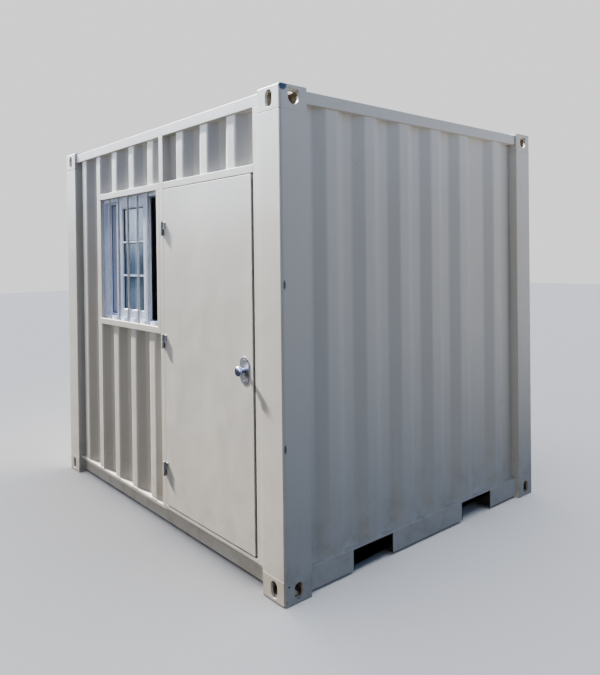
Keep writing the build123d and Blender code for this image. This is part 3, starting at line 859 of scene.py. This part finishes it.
# Knob: turned and polished, with a domed face, a round rim and a neck down to the plate, on both sides
knob_low, knob_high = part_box("door_knob")
knob_center = (knob_low + knob_high) / 2
knob_face = (knob_low.y - knob_high.y) / 2
rim_radius = 0.009
rim_center = 0.017
rim_depth = 0.0105
rim_start = 20
rim_turn = 70
rim_steps = 6
knob_profile = [(0.0, knob_face), (0.008, knob_face + 0.0004), (0.014, knob_face + 0.0014)]
for step in range(rim_steps + 1):
    angle = math.radians(rim_start + rim_turn * step / rim_steps)
    depth = rim_depth - rim_radius * math.cos(angle)
    knob_profile.append((rim_center + rim_radius * math.sin(angle), knob_face + depth))
knob_profile += [
    (0.0255, knob_face + 0.0145),
    (0.0235, knob_face + 0.019),
    (0.0200, knob_face + 0.0235),
    (0.0165, knob_face + 0.0262),
    (0.0130, knob_face + 0.0278),
    (0.0120, knob_face + 0.0300),
    (0.0120, -0.0212),
    (0.0060, -0.0210),
]
whole_profile = knob_profile + [(radius, -along) for radius, along in reversed(knob_profile)]
bm = bmesh.new()
turned(bm, knob_center, whole_profile)
bmesh.ops.recalc_face_normals(bm, faces=bm.faces)
knob = dress(finish_mesh(bm, "door_knob_turned", sharp_angle=40.0), sky_tinted_chrome, "knob")
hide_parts("door_knob")

# Domed screws that hold the lock plates
bm = bmesh.new()
plates_low, plates_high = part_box("lock_plates")
plate_middle = (plates_low + plates_high) / 2
screw_distance = 0.052
screw_profile = ((0.0, 0.0009), (0.0026, 0.0008), (0.0041, 0.0002), (0.0044, -0.0004), (0.0, -0.0005))
for face_y, side in ((plates_low.y, -1), (plates_high.y, 1)):
    for drop in (-screw_distance, screw_distance):
        center = Vector((plate_middle.x, face_y, plate_middle.z + drop))
        turned(bm, center, [(radius, side * along) for radius, along in screw_profile], 20)
bmesh.ops.recalc_face_normals(bm, faces=bm.faces)
dress(finish_mesh(bm, "lock_plate_screws", sharp_angle=50.0), zinc, "door")

# Rubber seal round the door, on the frame: a thick strip at the lock side, thin ones at the hinges and head
jamb_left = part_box("door_jamb")[0].x
post_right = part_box("door_post")[1].x
head_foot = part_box("door_head")[0].z
threshold_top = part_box("threshold")[1].z
seal_front = leaf_low.y + 0.010
seal_back = leaf_low.y + 0.034
lock_strip_left = leaf_high.x + 0.004
hinge_strip_right = post_right + 0.0038
head_strip_foot = head_foot - 0.0036


def seal_strip(bm, left, foot, right, top, radius):
    soft_block(bm, Vector((left, seal_front, foot)), Vector((right, seal_back, top)), radius)


bm = bmesh.new()
seal_strip(bm, lock_strip_left, threshold_top, jamb_left, head_foot, 0.003)
seal_strip(bm, post_right, threshold_top, hinge_strip_right, head_foot, 0.0012)
seal_strip(bm, post_right, head_strip_foot, jamb_left, head_foot, 0.0012)
dress(finish_mesh(bm, "door_seal"), seal, "cabin")

# Gaskets that hold the glass: in front one round each light, and behind one round each pane
bm = bmesh.new()
bar_half = 0.006
gasket_out = 0.003
gasket_width = 0.0045
gasket_depth = 0.0035
for node, bar_count in (("glass_fixed", 0), ("glass_sliding", 2)):
    low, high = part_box(node)
    share = (high.z - low.z) / (bar_count + 1)
    for index in range(bar_count + 1):
        foot = low.z + index * share + (bar_half if index else 0.0)
        top = low.z + (index + 1) * share - (bar_half if index < bar_count else 0.0)
        gasket(bm, low.x, foot, high.x, top, low.y - gasket_out, gasket_width, gasket_depth)
    gasket(bm, low.x, low.z, high.x, high.z, high.y + gasket_out, gasket_width, -gasket_depth)
bmesh.ops.recalc_face_normals(bm, faces=bm.faces)
dress(finish_mesh(bm, "glass_gaskets"), seal, "cabin")

# Sealant round the window's rim
bm = bmesh.new()
low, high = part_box("window_frame")
ring = [Vector((x, low.y, z)) for x, z in rectangle(low.x, low.z, high.x, high.z)]
bead(bm, ring, rim_bead, closed=True, step=0.008, ripple=0.08)
finish_beads(bm, "window_sealant", white_seal)

# Floor screws in rows over the bearers
bm = bmesh.new()
floor_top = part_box("floor")[1].z
row_pitch = 0.44
screw_pitch = 0.23
head_size = {"radius1": 0.0048, "radius2": 0.0042, "depth": 0.0006}
for row_number in range(-2, 3):
    for screw_number in range(-4, 5):
        place = Vector((row_number * row_pitch, screw_number * screw_pitch, floor_top))
        made = bmesh.ops.create_cone(bm, cap_ends=True, segments=12, **head_size)
        bmesh.ops.translate(bm, vec=place, verts=made["verts"])
dress(finish_mesh(bm, "floor_screws"), zinc, "cabin")

# Floor of the studio
bpy.ops.mesh.primitive_plane_add(size=60.0, location=(0.0, 0.0, 0.0))
floor = bpy.context.object
floor.name = "studio_floor"
floor_look = Surface("studio_floor")
floor_tone = floor_look.mix(floor_look.noise(3.0), (0.72, 0.72, 0.72, 1.0), (0.74, 0.74, 0.74, 1.0))
floor_look.set(Base_Color=floor_tone, Roughness=0.9)
cover(floor, floor_look.material)
floor.visible_diffuse = False
floor.visible_glossy = False

# Camera: place and angles fitted to the photograph
camera_place = Vector((3.70334, -2.85116, 1.63273))
yaw, pitch, roll = math.radians(48.32), math.radians(-0.50), math.radians(-0.63)
ahead = Vector((-math.sin(yaw) * math.cos(pitch), math.cos(yaw) * math.cos(pitch), math.sin(pitch)))
right = Vector((math.cos(yaw), math.sin(yaw), 0.0))
above = right.cross(ahead)
rolled_right = math.cos(roll) * right + math.sin(roll) * above
rolled_above = -math.sin(roll) * right + math.cos(roll) * above
camera_data = bpy.data.cameras.new("camera")
camera_data.lens = 33.93
camera_data.sensor_width = 36.0
camera_data.shift_x = -0.0429
camera_data.shift_y = -0.1121
camera = bpy.data.objects.new("camera", camera_data)
facing = Matrix((rolled_right, rolled_above, -ahead)).transposed()
camera.matrix_world = Matrix.Translation(camera_place) @ facing.to_4x4()
bpy.context.scene.collection.objects.link(camera)
bpy.context.scene.camera = camera


# Light: a lamp like the sun that grazes the front from the left, a wide one for the floor alone, light from
# the sunlit ground on the shaded end, and a soft world
def far_lamp(name, energy, spread, colour, side, rise):
    data = bpy.data.lights.new(name, "SUN")
    data.energy = energy
    data.angle = math.radians(spread)
    data.color = colour
    lamp = bpy.data.objects.new(name, data)
    side, rise = math.radians(side), math.radians(rise)
    toward = Vector((math.cos(side) * math.cos(rise), math.sin(side) * math.cos(rise), math.sin(rise)))
    lamp.rotation_euler = toward.to_track_quat("Z", "Y").to_euler()
    bpy.context.scene.collection.objects.link(lamp)
    return lamp


def receivers(lamp, name, link_state):
    group = bpy.data.collections.new(name)
    group.objects.link(floor)
    lamp.light_linking.receiver_collection = group
    group.collection_objects[0].light_linking.link_state = link_state


key = far_lamp("key", energy=12.6, spread=3.0, colour=(1.0, 0.965, 0.91), side=191.0, rise=40.0)
receivers(key, "all_but_floor", "EXCLUDE")
wash = far_lamp("floor_wash", energy=2.2, spread=70.0, colour=(1.0, 0.97, 0.93), side=0.0, rise=90.0)
receivers(wash, "floor_alone", "INCLUDE")
bounce_data = bpy.data.lights.new("ground_bounce", "AREA")
bounce_data.shape = "RECTANGLE"
bounce_data.size = 6.0
bounce_data.size_y = 9.0
bounce_data.energy = 525.0
bounce_data.color = (1.0, 0.93, 0.84)
bounce = bpy.data.objects.new("ground_bounce", bounce_data)
bounce.location = (6.3, 5.6, 0.05)
bounce.rotation_euler = (math.pi, 0.0, 0.0)
bounce.visible_glossy = False
bpy.context.scene.collection.objects.link(bounce)
receivers(bounce, "all_but_floor_too", "EXCLUDE")


# World: what soft light, reflections and the camera each see
class Sky(Graph):
    def __init__(self, tree):
        super().__init__(tree)
        self.direction = self.add("ShaderNodeTexCoord").outputs["Generated"]

    # How nearly a ray runs along a direction, from -1 to 1
    def along(self, x, y, z):
        return self.vector("DOT_PRODUCT", self.direction, (x, y, z)).outputs["Value"]

    def background(self, colour):
        node = self.add("ShaderNodeBackground")
        self.feed(colour, node.inputs["Color"])
        return node.outputs["Background"]

    def choose(self, factor, first, second):
        node = self.add("ShaderNodeMixShader")
        self.link(factor, node.inputs["Fac"])
        self.link(first, node.inputs[1])
        self.link(second, node.inputs[2])
        return node.outputs["Shader"]


world = bpy.data.worlds.new("studio")
bpy.context.scene.world = world
world.use_nodes = True
sky = Sky(world.node_tree)
up = sky.along(0.0, 0.0, 1.0)

# Soft light: sunlit ground in front, shaded ground behind, and a sky that is brighter toward the shaded end
front_side = sky.remap(sky.along(-0.25, -0.97, 0.0), -0.1, 0.9)
end_side = sky.remap(sky.along(0.83, 0.56, 0.0), 0.0, 0.8)
far_ground = sky.mix(front_side, (0.125, 0.15, 0.195, 1.0), (0.80, 0.75, 0.66, 1.0))
near_ground = sky.mix(front_side, (0.01, 0.01, 0.01, 1.0), (0.45, 0.42, 0.37, 1.0))
ground_soft = sky.mix(sky.remap(up, -0.75, 0.0), near_ground, far_ground)
open_sky = sky.mix(end_side, (0.18, 0.205, 0.27, 1.0), (0.34, 0.455, 0.67, 1.0))
sky_soft = sky.mix(sky.remap(up, -0.02, 0.04), ground_soft, open_sky)

# Reflections: bright haze toward the sun, and a warm strip of far ground that the shaded end mirrors
bright_side = sky.remap(sky.along(-0.75, -0.66, 0.0), 0.2, 0.95)
high_haze = sky.mix(sky.remap(up, 0.04, 0.35), (2.3, 2.55, 3.0, 1.0), (5.0, 5.3, 5.9, 1.0))
sky_haze = sky.mix(bright_side, (0.48, 0.58, 0.76, 1.0), high_haze)
warm_side = sky.remap(sky.along(0.50, 0.866, 0.0), 0.93, 0.99)
ground_seen = sky.mix(bright_side, (0.085, 0.09, 0.105, 1.0), (0.11, 0.105, 0.10, 1.0))
horizon_seen = sky.mix(warm_side, ground_seen, (1.5, 1.38, 1.22, 1.0))
ground_mirrored = sky.mix(sky.remap(up, -0.16, -0.06), ground_seen, horizon_seen)
sky_mirrored = sky.mix(sky.remap(up, -0.01, 0.05), ground_mirrored, sky_haze)

# The camera sees a plain pale backdrop
rays = sky.add("ShaderNodeLightPath")
soft = sky.choose(rays.outputs["Is Glossy Ray"], sky.background(sky_soft), sky.background(sky_mirrored))
seen = sky.choose(rays.outputs["Is Camera Ray"], soft, sky.background((0.92, 0.92, 0.92, 1.0)))
sky.link(seen, sky.add("ShaderNodeOutputWorld").inputs["Surface"])
bpy.context.scene.view_settings.view_transform = "AgX"
bpy.context.scene.view_settings.look = "AgX - Medium High Contrast"
